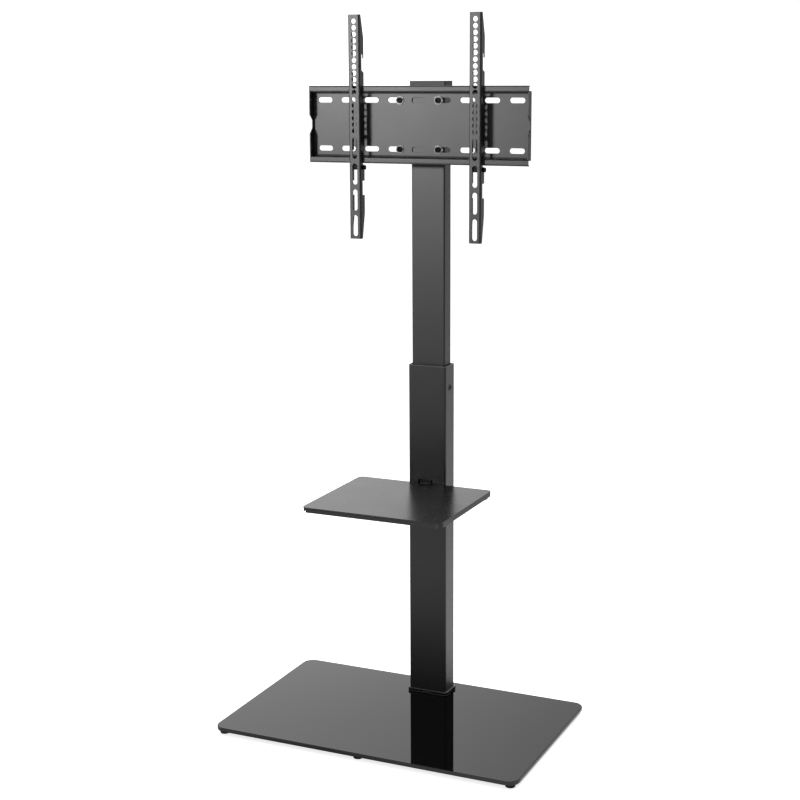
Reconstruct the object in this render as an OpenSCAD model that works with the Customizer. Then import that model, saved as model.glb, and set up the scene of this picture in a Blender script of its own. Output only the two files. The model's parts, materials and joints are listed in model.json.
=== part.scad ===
// Floor stand for a television: glass base, two-part column, shelf, swivel head and two hook-on arms.
// Millimetres. X runs along the screen, Y towards the back and Z up.
// The origin is on the floor, under the middle of the glass base.

/* [Base] */
// Width of the glass base
base_w = 630; // [560:5:760]
// Depth of the glass base, front to back
base_d = 400; // [370:5:480]
// Thickness of the glass
glass_t = 8; // [6:1:12]
// Radius of the glass's corners, seen from above
glass_corner_r = 22; // [16:1:30]
// Bevel along the glass's upper and lower edges
glass_bevel = 0.8; // [0.4:0.1:1.5]
// Height of the rubber feet
foot_h = 8; // [7:0.5:14]
// Radius of a foot where it meets the glass
foot_r = 10.5; // [9:0.5:14]
// Distance from the edges of the glass to the middles of the feet
foot_inset = 17; // [16:1:30]
// How far the two middle feet stand left of the middle of the glass
mid_foot_shift = 8; // [0:1:20]

/* [Column] */
// Width of the outer tube
outer_w = 80; // [76:1:96]
// Depth of the outer tube
outer_d = 46; // [42:1:52]
// Length of the outer tube
outer_len = 683; // [600:1:760]
// Width of the inner tube
inner_w = 70; // [60:1:72]
// Depth of the inner tube
inner_d = 32; // [28:1:34]
// Length of the inner tube that stays inside the outer one at the highest setting
insertion = 100; // [96:1:112]
// Wall of both tubes
tube_t = 2; // [1.5:0.1:2.5]
// Corner radius of the outer tube
outer_corner_r = 4; // [3:0.5:6]
// Corner radius of the inner tube
inner_corner_r = 3; // [2.5:0.5:4]
// Distance from the back edge of the glass to the back of the outer tube
column_inset = 27; // [26:1:45]
// Height of the inner tube's top over the upper edge of the wall plate
column_over_plate = 6; // [4:0.5:12]

/* [Shelf] */
// Height of the shelf's top face over the floor
shelf_z = 461; // [400:1:475]
// Width of the shelf
shelf_w = 288; // [240:1:360]
// Depth of the shelf
shelf_d = 256; // [200:1:266]
// Sheet thickness of the shelf
shelf_t = 2; // [1.5:0.1:3]
// Height of the folded edges of the shelf
shelf_edge_h = 10; // [8:0.5:14]
// Radius of the shelf's corners, seen from above
shelf_corner_r = 10; // [8:1:16]
// How far the shelf's middle stands left of the middle of the column
shelf_shift = 4; // [0:1:8]

/* [Wall plate] */
// Height of the plate's middle over the floor, at the highest setting
screen_z = 1169; // [1100:1:1250]
// Width of the wall plate
plate_w = 451; // [430:1:520]
// Height of the wall plate, over both rails
plate_h = 146; // [142:1:160]
// Sheet thickness of the wall plate
plate_t = 2; // [1.6:0.1:2.4]
// Height of each rail
rail_h = 12; // [10:0.5:14]
// Depth from the front of the rails to the plate's main face
pan_depth = 15.6; // [15:0.1:20]
// Outer radius of the folds
fold_r = 3; // [2.6:0.1:4]
// Distance between the middles of neighbouring slots in a row
slot_pitch = 49.5; // [46:0.5:52]
// Length of a plate slot
slot_len = 30; // [26:1:34]
// Width of a plate slot
slot_w = 10; // [8:0.5:12]
// Distance between the two rows of slots
slot_row_distance = 92; // [88:1:96]
// Distance between the inner tube's front and the back of the wall plate
head_reach = 40; // [40:0.2:50]

/* [Arms] */
// Length of an arm
arm_len = 422.5; // [410:0.5:440]
// Width of an arm
arm_w = 24; // [20:1:26]
// Sheet thickness of an arm
arm_t = 2; // [1.6:0.1:2.4]
// Depth of an arm at its deepest
arm_depth = 18; // [17.5:0.1:20]
// Distance between the middles of the two arms
arm_distance = 247.5; // [160:0.5:300]
// Height of the arms' tops over the upper edge of the wall plate
arm_rise = 132; // [126:1:140]
// Distance between neighbouring screw holes
hole_pitch = 12; // [11.5:0.1:12.5]
// Radius of a screw hole, and of the ends of the long slots
hole_r = 5; // [3.5:0.1:5.2]
// Number of round holes in an arm
hole_count = 18; // [10:1:18]
// Length of a long slot
arm_slot_len = 40.5; // [36:0.5:42]
// Distance between the middles of neighbouring long slots
arm_slot_pitch = 49.5; // [48:0.5:50]
// Height step between the hooks in use and the spare ones
hook_step = 58; // [54:1:60]

/* [Hidden] */

$fn = 48;
// How far every cut runs past the face it opens
over = 1;
// Gap round a shaft or screw that turns
run_gap = 0.05;
// Gap between tubes, sleeves and other faces that slide past each other
slide_gap = 0.3;
// Gap between two flat faces that turn on each other
face_gap = 0.1;

// Screws of the metric sizes that hold the stand together
m6_r = 3;
m6_hole_r = 3.3;
m6_head_r = 5.25;
m6_head_h = 4;
m6_low_head_h = 2.6;
m6_nut_r = 5.8;
m6_nut_h = 5;
m6_washer_r = 7.8;
m6_washer_t = 1.5;
m5_r = 2.5;
m5_nut_r = 4.6;
m5_nut_h = 4;
m10_r = 5;
m10_head_r = 9;
m10_head_h = 6;
m10_nut_r = 9.8;
m10_nut_h = 8;
m10_washer_r = 11;
m10_washer_t = 1.5;
m10_tail = 2.5;
socket_depth_share = 0.6;
socket_r_share = 0.5;
hex_sides = 6;

// Base
foot_taper = 1.2;
foot_tip_r = foot_r - foot_taper;
foot_round = 1.5;
glass_z = foot_h;
glass_top_z = glass_z + glass_t;
gasket_t = 0.8;
clamp_t = 2;
clamp_w = 200;
clamp_d = 130;
clamp_corner_r = 8;
clamp_setback = 3;
base_bolt_x = 24;
base_bolt_y = 8;
glass_hole_r = 4.5;
gasket_hole_r = 4;
bolt_into_foot = 7;
collar_wall = 4;
collar_h = 6.5;
collar_floor_t = 1;
collar_notch_w = 20;
collar_notch_h = 2.2;
collar_notch_depth = 2;
column_z = glass_top_z + collar_floor_t;
column_y = base_d / 2 - column_inset - outer_d / 2;
foot_plate_t = 8;

// Column
outer_top_z = column_z + outer_len;
inner_top_z = screen_z + plate_h / 2 + column_over_plate;
inner_bottom_z = outer_top_z - insertion;
inner_len = inner_top_z - inner_bottom_z;
outer_front_y = column_y - outer_d / 2;
inner_front_y = column_y - inner_d / 2;
bore_w = outer_w - 2 * tube_t;
bore_d = outer_d - 2 * tube_t;
bore_r = outer_corner_r - tube_t;
sleeve_recess = 10;
sleeve_len = insertion - sleeve_recess - face_gap;
shoe_flange_h = 12;
shoe_spigot_h = 20;
shoe_wall = 3;
lock_drop = 45;
lock_z = outer_top_z - lock_drop;
lock_bush_r = 5;
lock_bush_flange_r = 6.5;
lock_bush_flange_t = 0.8;
lock_screw_recess = 1;
cap_wall = 2.5;
cap_h = 14;
cap_top_t = 2.5;

// Shelf
hook_w = 24;
hook_shift_x = 1.8;
hook_lift = 4.5;
hook_drop = 18;
column_slot_w = 31;
column_slot_sink = 1.5;
column_slot_h = 8.4;
shelf_gap = 1.5;
shelf_back_y = outer_front_y - shelf_gap;
shelf_mid_y = shelf_back_y - shelf_d / 2;
shelf_x = -shelf_shift;
shelf_fold_r = 3;
stud_inset = 54;
stud_distance = shelf_w - 2 * stud_inset;
stud_setback = 22;
stud_len = 20;
cross_bar_w = 15;
cross_bar_h = 11.5;
cross_bar_wall = 1.5;
cross_bar_y = shelf_back_y - stud_setback - cross_bar_w / 2;
bar_end_gap = 1.2;
shelf_relief = 9;
bracket_w = 50;
bracket_drop = 55;
bracket_t = 3;
cheek_reach = 150;
cheek_tip_h = 12;
bracket_screw_drop = 38;
bracket_screw_x = 15;
insert_r = 4.5;
insert_lip = 1;
insert_len = 2.7;
head_insert_len = 8;

// Head
plate_back_y = inner_front_y - head_reach;
plate_main_y = plate_back_y - plate_t;
rail_y = plate_main_y - pan_depth;
plate_z0 = screen_z - plate_h / 2;
rail_top_z = screen_z + plate_h / 2;
return_d = 5.6;
slot_columns = 9;
bolt_x = slot_pitch - slot_len / 2 + slot_w / 2;
flange_notch_outer = 38;
flange_notch_inner = 16;
flange_notch_depth = 10.5;
pivot_reach = 19;
pivot_y = inner_front_y - pivot_reach;
swivel_t = 3;
swivel_w = 90;
swivel_h = 119;
swivel_corner_r = 6;
ear_root_w = 64;
ear_r = 14;
fixed_t = 3;
fixed_w = 52;
fixed_h = swivel_h - 2 * (swivel_t + m10_washer_t + face_gap);
head_screw_x = 15;
head_screw_z = 30;

// Arms
arm_reach = 9.5;
arm_y = rail_y - arm_reach;
arm_fold_r = 3;
arm_seat_d = rail_y - arm_y - slide_gap;
arm_end_top_d = 6.5;
arm_end_bottom_d = 8;
arm_taper_top = 43;
arm_taper_bottom = 50;
tooth_len = 7.5;
tooth_root_t = 2.2;
tooth_tip_t = 1.2;
notch_h = 29.3;
notch_slope = 4;
low_notch_over = 12.5;
low_notch_under = 3;
first_hole_drop = 12.5;
last_slot_rise = 25.2;
arm_slots = 4;
lock_d = 12;
lock_under_rail = 8;
lock_head_r = 4.3;
lock_head_h = 4.5;
lock_tail = 1;
lock_block_under = 4.2;
lock_block_d = 12.5;
lock_arm_z = rail_top_z - plate_h - lock_under_rail;

// Flat outlines

// A rectangle with round corners, centred
module round_rect(w, d, r) {
    square([w - 2 * r, d], center = true);
    square([w, d - 2 * r], center = true);
    for (x = [-1, 1], y = [-1, 1])
        translate([x * (w / 2 - r), y * (d / 2 - r)]) circle(r = r);
}

// A slot with round ends that runs along X
module slot_2d(length, width) {
    square([length - width, width], center = true);
    for (x = [-1, 1])
        translate([x * (length - width) / 2, 0]) circle(d = width);
}

// A quarter of a fold: the ring between two radii, in the quadrant that sx and sy point to
module fold_2d(at, r, t, sx, sy) {
    translate(at) intersection() {
        difference() {
            circle(r = r);
            circle(r = r - t);
        }
        scale_square(r, sx, sy);
    }
}

// A square of side r in the quadrant that sx and sy point to
module scale_square(r, sx, sy) {
    translate([sx < 0 ? -r : 0, sy < 0 ? -r : 0]) square(r);
}

// A rectangle between two corners
module box_2d(a, b) {
    translate(a) square(b - a);
}

// Placing helpers

// Runs a Y-Z outline along X, from x0
module along_x(x0, length) {
    translate([x0, 0, 0]) rotate([90, 0, 90]) linear_extrude(length) children();
}

// Runs an X-Z outline along Y, from y0
module along_y(y0, length) {
    translate([0, y0 + length, 0]) rotate([90, 0, 0]) linear_extrude(length) children();
}

// A round bar along X from x0
module bar_x(x0, length, r) {
    translate([x0, 0, 0]) rotate([0, 90, 0]) cylinder(h = length, r = r);
}

// A round bar along Y from y0
module bar_y(y0, length, r) {
    translate([0, y0, 0]) rotate([-90, 0, 0]) cylinder(h = length, r = r);
}

// A rectangular tube that stands on the X-Y plane
module tube(w, d, h, t, r) {
    difference() {
        linear_extrude(h) round_rect(w, d, r);
        translate([0, 0, -over]) linear_extrude(h + 2 * over) round_rect(w - 2 * t, d - 2 * t, r - t);
    }
}

// Points of a slab's section with bevelled edges, over half a width
function bevel_points(half, t, c) = [
    [-half + c, 0], [half - c, 0], [half, c], [half, t - c],
    [half - c, t], [c - half, t], [-half, t - c], [-half, c]
];

// A slab with round corners and a bevel along every edge
module bevelled_slab(w, d, t, r, c) {
    along_x(r - w / 2, w - 2 * r) polygon(bevel_points(d / 2, t, c));
    along_y(r - d / 2, d - 2 * r) polygon(bevel_points(w / 2, t, c));
    for (x = [-1, 1], y = [-1, 1])
        translate([x * (w / 2 - r), y * (d / 2 - r), 0])
            rotate_extrude() polygon([[0, 0], [r - c, 0], [r, c], [r, t - c], [r - c, t], [0, t]]);
}

// A pan-head screw that points to +Z, with its head's bearing face at Z = 0 and a six-sided socket
module socket_screw(r, shank, head_r, head_h) {
    difference() {
        union() {
            cylinder(h = shank, r = r);
            translate([0, 0, -head_h]) cylinder(h = head_h, r = head_r);
        }
        translate([0, 0, -head_h - over])
            cylinder(h = head_h * socket_depth_share + over, r = head_r * socket_r_share, $fn = hex_sides);
    }
}

// A six-sided nut that stands on Z = 0, with its bore
module hex_nut(nut_r, h, bore_r) {
    difference() {
        cylinder(h = h, r = nut_r, $fn = hex_sides);
        translate([0, 0, -over]) cylinder(h = h + 2 * over, r = bore_r);
    }
}

// The four places of the base bolts round the column's axis
module at_base_bolts() {
    for (x = [-1, 1], y = [-1, 1])
        translate([x * base_bolt_x, column_y + y * base_bolt_y, 0]) children();
}

// The four places of the bolts that hold the wall plate on the swivel bracket
module at_plate_bolts() {
    for (x = [-1, 1], z = [-1, 1])
        translate([x * bolt_x, 0, screen_z + z * slot_row_distance / 2]) children();
}

// The four places of the screws that hold the fixed bracket on the inner tube
module at_head_screws() {
    for (x = [-1, 1], z = [-1, 1])
        translate([x * head_screw_x, 0, screen_z + z * head_screw_z]) children();
}

// The two places of the screws that hold the shelf bracket on the outer tube
module at_bracket_screws() {
    for (x = [-1, 1])
        translate([x * bracket_screw_x, 0, shelf_z - bracket_screw_drop]) children();
}

// The two places of the studs under the shelf
module at_studs() {
    for (x = [-1, 1])
        translate([shelf_x + x * stud_distance / 2, shelf_back_y - stud_setback, 0]) children();
}

// Base

module base_glass() {
    color([0.07, 0.07, 0.08])
    difference() {
        translate([0, 0, glass_z]) bevelled_slab(base_w, base_d, glass_t, glass_corner_r, glass_bevel);
        at_base_bolts() translate([0, 0, glass_z - over]) cylinder(h = glass_t + 2 * over, r = glass_hole_r);
    }
}

// One foot: a short cone with a rounded lower edge
module foot() {
    rotate_extrude() union() {
        polygon([
            [0, 0], [foot_tip_r - foot_round, 0], [foot_tip_r, foot_round], [foot_r, foot_h], [0, foot_h]
        ]);
        translate([foot_tip_r - foot_round, foot_round]) circle(r = foot_round);
    }
}

module feet() {
    color([0.05, 0.05, 0.05])
    for (x = [-1, 0, 1], y = [-1, 1])
        translate([
            x == 0 ? -mid_foot_shift : x * (base_w / 2 - foot_inset),
            y * (base_d / 2 - foot_inset),
            0
        ])
            foot();
}

// A slab under the glass round the column's bolts, which stays clear of the middle foot behind it
module under_slab(t, hole_r) {
    difference() {
        translate([0, column_y + outer_d / 2 - clamp_setback - clamp_d / 2, 0])
            linear_extrude(t) round_rect(clamp_w, clamp_d, clamp_corner_r);
        at_base_bolts() translate([0, 0, -over]) cylinder(h = t + 2 * over, r = hole_r);
    }
}

module base_gasket() {
    color([0.12, 0.12, 0.12])
    translate([0, 0, glass_z - gasket_t]) under_slab(gasket_t, gasket_hole_r);
}

module clamp_plate() {
    color([0.15, 0.15, 0.16])
    translate([0, 0, glass_z - gasket_t - clamp_t]) under_slab(clamp_t, m6_hole_r);
}

module base_bolts() {
    color([0.3, 0.3, 0.32])
    at_base_bolts() translate([0, 0, glass_z - gasket_t - clamp_t])
        socket_screw(
            m6_r, column_z + bolt_into_foot - (glass_z - gasket_t - clamp_t), m6_head_r, m6_low_head_h
        );
}

// A trim ring round the foot of the tube, with a thin floor that the tube stands on
module base_collar() {
    color([0.04, 0.04, 0.04])
    difference() {
        translate([0, column_y, glass_top_z]) linear_extrude(collar_h)
            round_rect(outer_w + 2 * collar_wall, outer_d + 2 * collar_wall, outer_corner_r + collar_wall);
        translate([0, column_y, column_z]) linear_extrude(collar_h)
            round_rect(outer_w, outer_d, outer_corner_r);
        at_base_bolts() translate([0, 0, glass_top_z - over])
            cylinder(h = collar_floor_t + 2 * over, r = m6_hole_r);
        translate([-collar_notch_w / 2, outer_front_y - collar_wall - over, glass_top_z - over])
            cube([collar_notch_w, collar_notch_depth + over, collar_notch_h + over]);
    }
}

// The thick end plate welded in the foot of the tube, tapped for the base bolts
module column_foot() {
    color([0.2, 0.2, 0.21])
    difference() {
        translate([0, column_y, column_z]) linear_extrude(foot_plate_t) round_rect(bore_w, bore_d, bore_r);
        at_base_bolts() translate([0, 0, column_z - over])
            cylinder(h = foot_plate_t + 2 * over, r = m6_r + run_gap);
    }
}

// Column

module outer_column() {
    color([0.1, 0.1, 0.11])
    difference() {
        translate([0, column_y, column_z]) tube(outer_w, outer_d, outer_len, tube_t, outer_corner_r);
        // Slot for the shelf's hook
        translate([shelf_x - column_slot_w / 2, outer_front_y - over, shelf_z - column_slot_sink])
            cube([column_slot_w, tube_t + 2 * over, column_slot_h]);
        // Hole for the lock bush
        translate([0, column_y, lock_z]) bar_x(outer_w / 2 - tube_t - over, tube_t + 2 * over, lock_bush_r);
        // Holes for the shelf bracket's inserts
        at_bracket_screws() bar_y(outer_front_y - over, tube_t + 2 * over, insert_r);
    }
}

// The plastic liner at the top of the outer tube, which the inner one slides in
module guide_sleeve() {
    color([0.08, 0.08, 0.08])
    difference() {
        translate([0, column_y, outer_top_z - sleeve_recess - sleeve_len]) difference() {
            linear_extrude(sleeve_len) round_rect(bore_w, bore_d, bore_r);
            translate([0, 0, -over]) linear_extrude(sleeve_len + 2 * over)
                round_rect(inner_w + 2 * slide_gap, inner_d + 2 * slide_gap, inner_corner_r + slide_gap);
        }
        translate([0, column_y, lock_z]) bar_x(0, outer_w / 2, lock_bush_r);
    }
}

// The threaded bush of the height screw, pressed into the side wall
module lock_bush() {
    color([0.25, 0.25, 0.26])
    translate([0, column_y, lock_z]) difference() {
        union() {
            bar_x(inner_w / 2 + slide_gap, (outer_w - inner_w) / 2 - slide_gap, lock_bush_r);
            bar_x(outer_w / 2, lock_bush_flange_t, lock_bush_flange_r);
        }
        bar_x(inner_w / 2, (outer_w - inner_w) / 2 + 2 * over, m6_r + run_gap);
    }
}

// The grub screw that locks the height, sunk in its bush
module height_screw() {
    color([0.06, 0.06, 0.06])
    translate([0, column_y, lock_z]) difference() {
        bar_x(inner_w / 2 + face_gap, (outer_w - inner_w) / 2 - face_gap - lock_screw_recess, m6_r);
        translate([outer_w / 2 - lock_screw_recess - m6_r * socket_depth_share, 0, 0]) rotate([0, 90, 0])
            cylinder(h = m6_r, r = m6_r * socket_r_share, $fn = hex_sides);
    }
}

module inner_column() {
    color([0.12, 0.12, 0.13])
    difference() {
        translate([0, column_y, inner_bottom_z]) tube(inner_w, inner_d, inner_len, tube_t, inner_corner_r);
        at_head_screws() bar_y(inner_front_y - over, tube_t + 2 * over, insert_r);
    }
}

// The plastic shoe in the lower end of the inner tube, which guides it in the outer one.
// Its ledge meets the liner at the highest setting, and its front leaves room for the shelf's hook.
module guide_shoe() {
    color([0.08, 0.08, 0.08])
    translate([0, column_y, inner_bottom_z]) difference() {
        union() {
            translate([0, 0, -shoe_flange_h]) linear_extrude(shoe_flange_h)
                round_rect(bore_w - 2 * slide_gap, inner_d, bore_r);
            linear_extrude(shoe_spigot_h)
                round_rect(inner_w - 2 * tube_t, inner_d - 2 * tube_t, inner_corner_r - tube_t);
        }
        translate([0, 0, -shoe_flange_h - over]) linear_extrude(shoe_flange_h + shoe_spigot_h + 2 * over)
            round_rect(inner_w - 2 * (tube_t + shoe_wall), inner_d - 2 * (tube_t + shoe_wall), shoe_wall);
    }
}

// The plastic cap over the top of the inner tube
module top_cap() {
    color([0.11, 0.11, 0.12])
    translate([0, column_y, inner_top_z + cap_top_t - cap_h]) difference() {
        linear_extrude(cap_h)
            round_rect(inner_w + 2 * cap_wall, inner_d + 2 * cap_wall, inner_corner_r);
        translate([0, 0, -over]) linear_extrude(cap_h - cap_top_t + over)
            round_rect(inner_w, inner_d, inner_corner_r);
    }
}

// Shelf

// Round corners are cut in the top sheet; the folded edges stop short of them
module shelf() {
    color([0.14, 0.14, 0.15])
    difference() {
        union() {
            intersection() {
                translate([shelf_x, shelf_mid_y, shelf_z - shelf_edge_h])
                    linear_extrude(shelf_edge_h) round_rect(shelf_w, shelf_d, shelf_corner_r);
                union() {
                    shelf_fold_x();
                    shelf_fold_y();
                }
            }
            // Hook that leads through the slot and drops behind the tube's front wall
            along_x(shelf_x + hook_shift_x - hook_w / 2, hook_w) shelf_hook_2d();
            // Welded studs for the cross bar
            at_studs() translate([0, 0, shelf_z - stud_len]) cylinder(h = stud_len - shelf_t, r = m5_r);
        }
        // Reliefs where the folded edges end before the round corners
        for (x = [-1, 1], y = [-1, 1])
            translate([
                shelf_x + x * (shelf_w - shelf_relief + over) / 2,
                shelf_mid_y + y * (shelf_d - shelf_relief + over) / 2,
                shelf_z - (shelf_edge_h + shelf_t + over) / 2
            ]) cube([shelf_relief + over, shelf_relief + over, shelf_edge_h - shelf_t + over], center = true);
    }
}

// The shelf's section across its width: top sheet, two folds and two edges
module shelf_fold_y() {
    translate([0, shelf_mid_y + shelf_d / 2, 0]) rotate([90, 0, 0]) linear_extrude(shelf_d)
        translate([shelf_x, shelf_z]) tray_2d(shelf_w);
}

// The same section across its depth
module shelf_fold_x() {
    along_x(shelf_x - shelf_w / 2, shelf_w) translate([shelf_mid_y, shelf_z]) tray_2d(shelf_d);
}

// A sheet with both edges folded down, its top at Y = 0
module tray_2d(w) {
    box_2d([-w / 2 + shelf_fold_r, -shelf_t], [w / 2 - shelf_fold_r, 0]);
    for (s = [-1, 1]) {
        fold_2d([s * (w / 2 - shelf_fold_r), -shelf_fold_r], shelf_fold_r, shelf_t, s, 1);
        translate([s * (w / 2 - shelf_t / 2), -(shelf_edge_h + shelf_fold_r) / 2])
            square([shelf_t, shelf_edge_h - shelf_fold_r], center = true);
    }
}

// Side view of the hook, in Y and Z: a rise in line with the back edge, a tongue through the slot and the
// part that drops
module shelf_hook_2d() {
    hook_top = shelf_z + hook_lift + shelf_t;
    rise_y = shelf_back_y - shelf_t;
    drop_y = outer_front_y + 2 * tube_t + face_gap;
    bend_z = hook_top - shelf_fold_r;
    box_2d([rise_y, shelf_z - shelf_edge_h], [shelf_back_y, bend_z]);
    fold_2d([rise_y + shelf_fold_r, bend_z], shelf_fold_r, shelf_t, -1, 1);
    box_2d([rise_y + shelf_fold_r, hook_top - shelf_t], [drop_y - shelf_fold_r, hook_top]);
    fold_2d([drop_y - shelf_fold_r, bend_z], shelf_fold_r, shelf_t, 1, 1);
    box_2d([drop_y - shelf_t, hook_top - hook_drop], [drop_y, bend_z]);
}

// The welded bracket under the shelf: a back plate and two cheeks, notched for the cross bar
module shelf_bracket() {
    top_z = shelf_z - shelf_t;
    color([0.12, 0.12, 0.13])
    difference() {
        union() {
            translate([-bracket_w / 2, outer_front_y - bracket_t, top_z - bracket_drop])
                cube([bracket_w, bracket_t, bracket_drop - shelf_edge_h]);
            for (x = [-1, 1])
                along_x(x * (bracket_w - bracket_t) / 2 - bracket_t / 2, bracket_t) polygon([
                    [outer_front_y - bracket_t, top_z - bracket_drop],
                    [outer_front_y - bracket_t, top_z - shelf_edge_h],
                    [shelf_back_y - shelf_t - bar_end_gap, top_z - shelf_edge_h],
                    [shelf_back_y - shelf_t - bar_end_gap, top_z],
                    [outer_front_y - cheek_reach, top_z],
                    [outer_front_y - cheek_reach, top_z - cheek_tip_h]
                ]);
        }
        translate([-bracket_w, cross_bar_y, top_z - cross_bar_h])
            cube([2 * bracket_w, cross_bar_w, cross_bar_h + over]);
        at_bracket_screws() bar_y(outer_front_y - bracket_t - over, bracket_t + 2 * over, m6_hole_r);
    }
}

// The hollow bar across the bracket, which the shelf's studs pass through
module cross_bar() {
    length = shelf_w - 2 * (shelf_t + bar_end_gap);
    color([0.12, 0.12, 0.13])
    translate([shelf_x - length / 2, cross_bar_y, shelf_z - shelf_t - cross_bar_h]) difference() {
        cube([length, cross_bar_w, cross_bar_h]);
        translate([-over, cross_bar_wall, cross_bar_wall])
            cube([length + 2 * over, cross_bar_w - 2 * cross_bar_wall, cross_bar_h - 2 * cross_bar_wall]);
        for (x = [-1, 1])
            translate([(length + x * stud_distance) / 2, cross_bar_w / 2, -over])
                cylinder(h = cross_bar_h + 2 * over, r = m5_r + slide_gap);
    }
}

module shelf_nuts() {
    color([0.3, 0.3, 0.32])
    at_studs() translate([0, 0, shelf_z - shelf_t - cross_bar_h - m5_nut_h])
        hex_nut(m5_nut_r, m5_nut_h, m5_r + run_gap);
}

module bracket_screws() {
    color([0.3, 0.3, 0.32])
    at_bracket_screws() translate([0, outer_front_y - bracket_t, 0]) rotate([-90, 0, 0])
        socket_screw(m6_r, bracket_t + tube_t + insert_len - face_gap, m6_head_r, m6_head_h);
}

// A threaded insert in a tube's front wall: a sleeve through the wall with a lip behind it
module wall_insert(y0, length) {
    difference() {
        union() {
            bar_y(y0, tube_t + length, insert_r);
            bar_y(y0 + tube_t, length, insert_r + insert_lip);
        }
        bar_y(y0 - over, tube_t + length + 2 * over, m6_r + run_gap);
    }
}

module bracket_nuts() {
    color([0.3, 0.3, 0.32])
    at_bracket_screws() wall_insert(outer_front_y, insert_len);
}

// Head on the inner tube

// The fixed bracket: a plate on the tube's front with an ear at each end, bored for the swivel bolt
module column_bracket() {
    z0 = screen_z - fixed_h / 2;
    color([0.12, 0.12, 0.13])
    difference() {
        union() {
            translate([0, inner_front_y - fixed_t, 0]) along_y(0, fixed_t)
                translate([0, screen_z]) round_rect(fixed_w, fixed_h, fixed_t);
            for (z = [z0, z0 + fixed_h - fixed_t])
                translate([0, 0, z]) linear_extrude(fixed_t) {
                    translate([0, pivot_y]) circle(r = ear_r);
                    translate([-ear_r, pivot_y]) square([2 * ear_r, pivot_reach - fixed_t / 2]);
                }
        }
        translate([0, pivot_y, z0 - over]) cylinder(h = fixed_h + 2 * over, r = m10_r + run_gap);
        at_head_screws() bar_y(inner_front_y - fixed_t - over, fixed_t + 2 * over, m6_hole_r);
    }
}

module head_screws() {
    color([0.3, 0.3, 0.32])
    at_head_screws() translate([0, inner_front_y - fixed_t, 0]) rotate([-90, 0, 0])
        socket_screw(m6_r, fixed_t + tube_t + head_insert_len, m6_head_r, m6_head_h);
}

module head_nuts() {
    color([0.3, 0.3, 0.32])
    at_head_screws() wall_insert(inner_front_y, head_insert_len);
}

// The bolt that the head swivels on, head up
module swivel_bolt() {
    head_z = screen_z + swivel_h / 2 + face_gap + m10_washer_t;
    shank = swivel_h + 2 * (face_gap + m10_washer_t) + m10_nut_h + m10_tail;
    color([0.3, 0.3, 0.32])
    translate([0, pivot_y, head_z]) mirror([0, 0, 1]) socket_screw(m10_r, shank, m10_head_r, m10_head_h);
}

// Two nylon washers inside the ears and two steel ones outside them
module swivel_washers() {
    fixed_top = fixed_h / 2;
    swivel_top = swivel_h / 2 + face_gap;
    color([0.75, 0.74, 0.7])
    for (z = [fixed_top, -fixed_top - m10_washer_t, swivel_top, -swivel_top - m10_washer_t])
        translate([0, pivot_y, screen_z + z]) difference() {
            cylinder(h = m10_washer_t, r = m10_washer_r);
            translate([0, 0, -over]) cylinder(h = m10_washer_t + 2 * over, r = m10_r + run_gap);
        }
}

module swivel_nut() {
    color([0.3, 0.3, 0.32])
    translate([0, pivot_y, screen_z - swivel_h / 2 - face_gap - m10_washer_t - m10_nut_h])
        hex_nut(m10_nut_r, m10_nut_h, m10_r + run_gap);
}

// The turning bracket: a plate behind the wall plate, with an ear at each end
module swivel_bracket() {
    z0 = screen_z - swivel_h / 2;
    color([0.12, 0.12, 0.13])
    difference() {
        union() {
            along_y(plate_back_y, swivel_t) translate([0, screen_z])
                round_rect(swivel_w, swivel_h, swivel_corner_r);
            for (z = [z0, z0 + swivel_h - swivel_t])
                translate([0, 0, z]) linear_extrude(swivel_t) {
                    translate([0, pivot_y]) circle(r = ear_r);
                    polygon([
                        [-ear_root_w / 2, plate_back_y + swivel_t / 2],
                        [ear_root_w / 2, plate_back_y + swivel_t / 2],
                        [ear_r, pivot_y], [-ear_r, pivot_y]
                    ]);
                }
        }
        translate([0, pivot_y, z0 - over]) cylinder(h = swivel_h + 2 * over, r = m10_r + run_gap);
        at_plate_bolts() bar_y(plate_back_y - over, swivel_t + 2 * over, m6_hole_r);
    }
}

// Half of the wall plate's section over its middle: main face, web, lip and return.
// Y = 0 is the front of the rails, and Z = 0 the plate's middle.
module half_plate_2d() {
    top = plate_h / 2;
    web = top - rail_h;
    back = pan_depth + plate_t;
    box_2d([pan_depth, 0], [back, web + plate_t - fold_r]);
    fold_2d([back - fold_r, web + plate_t - fold_r], fold_r, plate_t, 1, 1);
    box_2d([fold_r, web], [back - fold_r, web + plate_t]);
    fold_2d([fold_r, web + fold_r], fold_r, plate_t, -1, -1);
    box_2d([0, web + fold_r], [plate_t, top - fold_r]);
    fold_2d([fold_r, top - fold_r], fold_r, plate_t, -1, 1);
    box_2d([fold_r, top - plate_t], [return_d, top]);
}

// Front edge of a side flange, with its notch, in Y and Z
module side_flange_2d() {
    web = plate_h / 2 - rail_h;
    polygon([
        [0, -web], [pan_depth + plate_t, -web], [pan_depth + plate_t, web], [0, web],
        [0, flange_notch_outer / 2], [flange_notch_depth, flange_notch_inner / 2],
        [flange_notch_depth, -flange_notch_inner / 2], [0, -flange_notch_outer / 2]
    ]);
}

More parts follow.
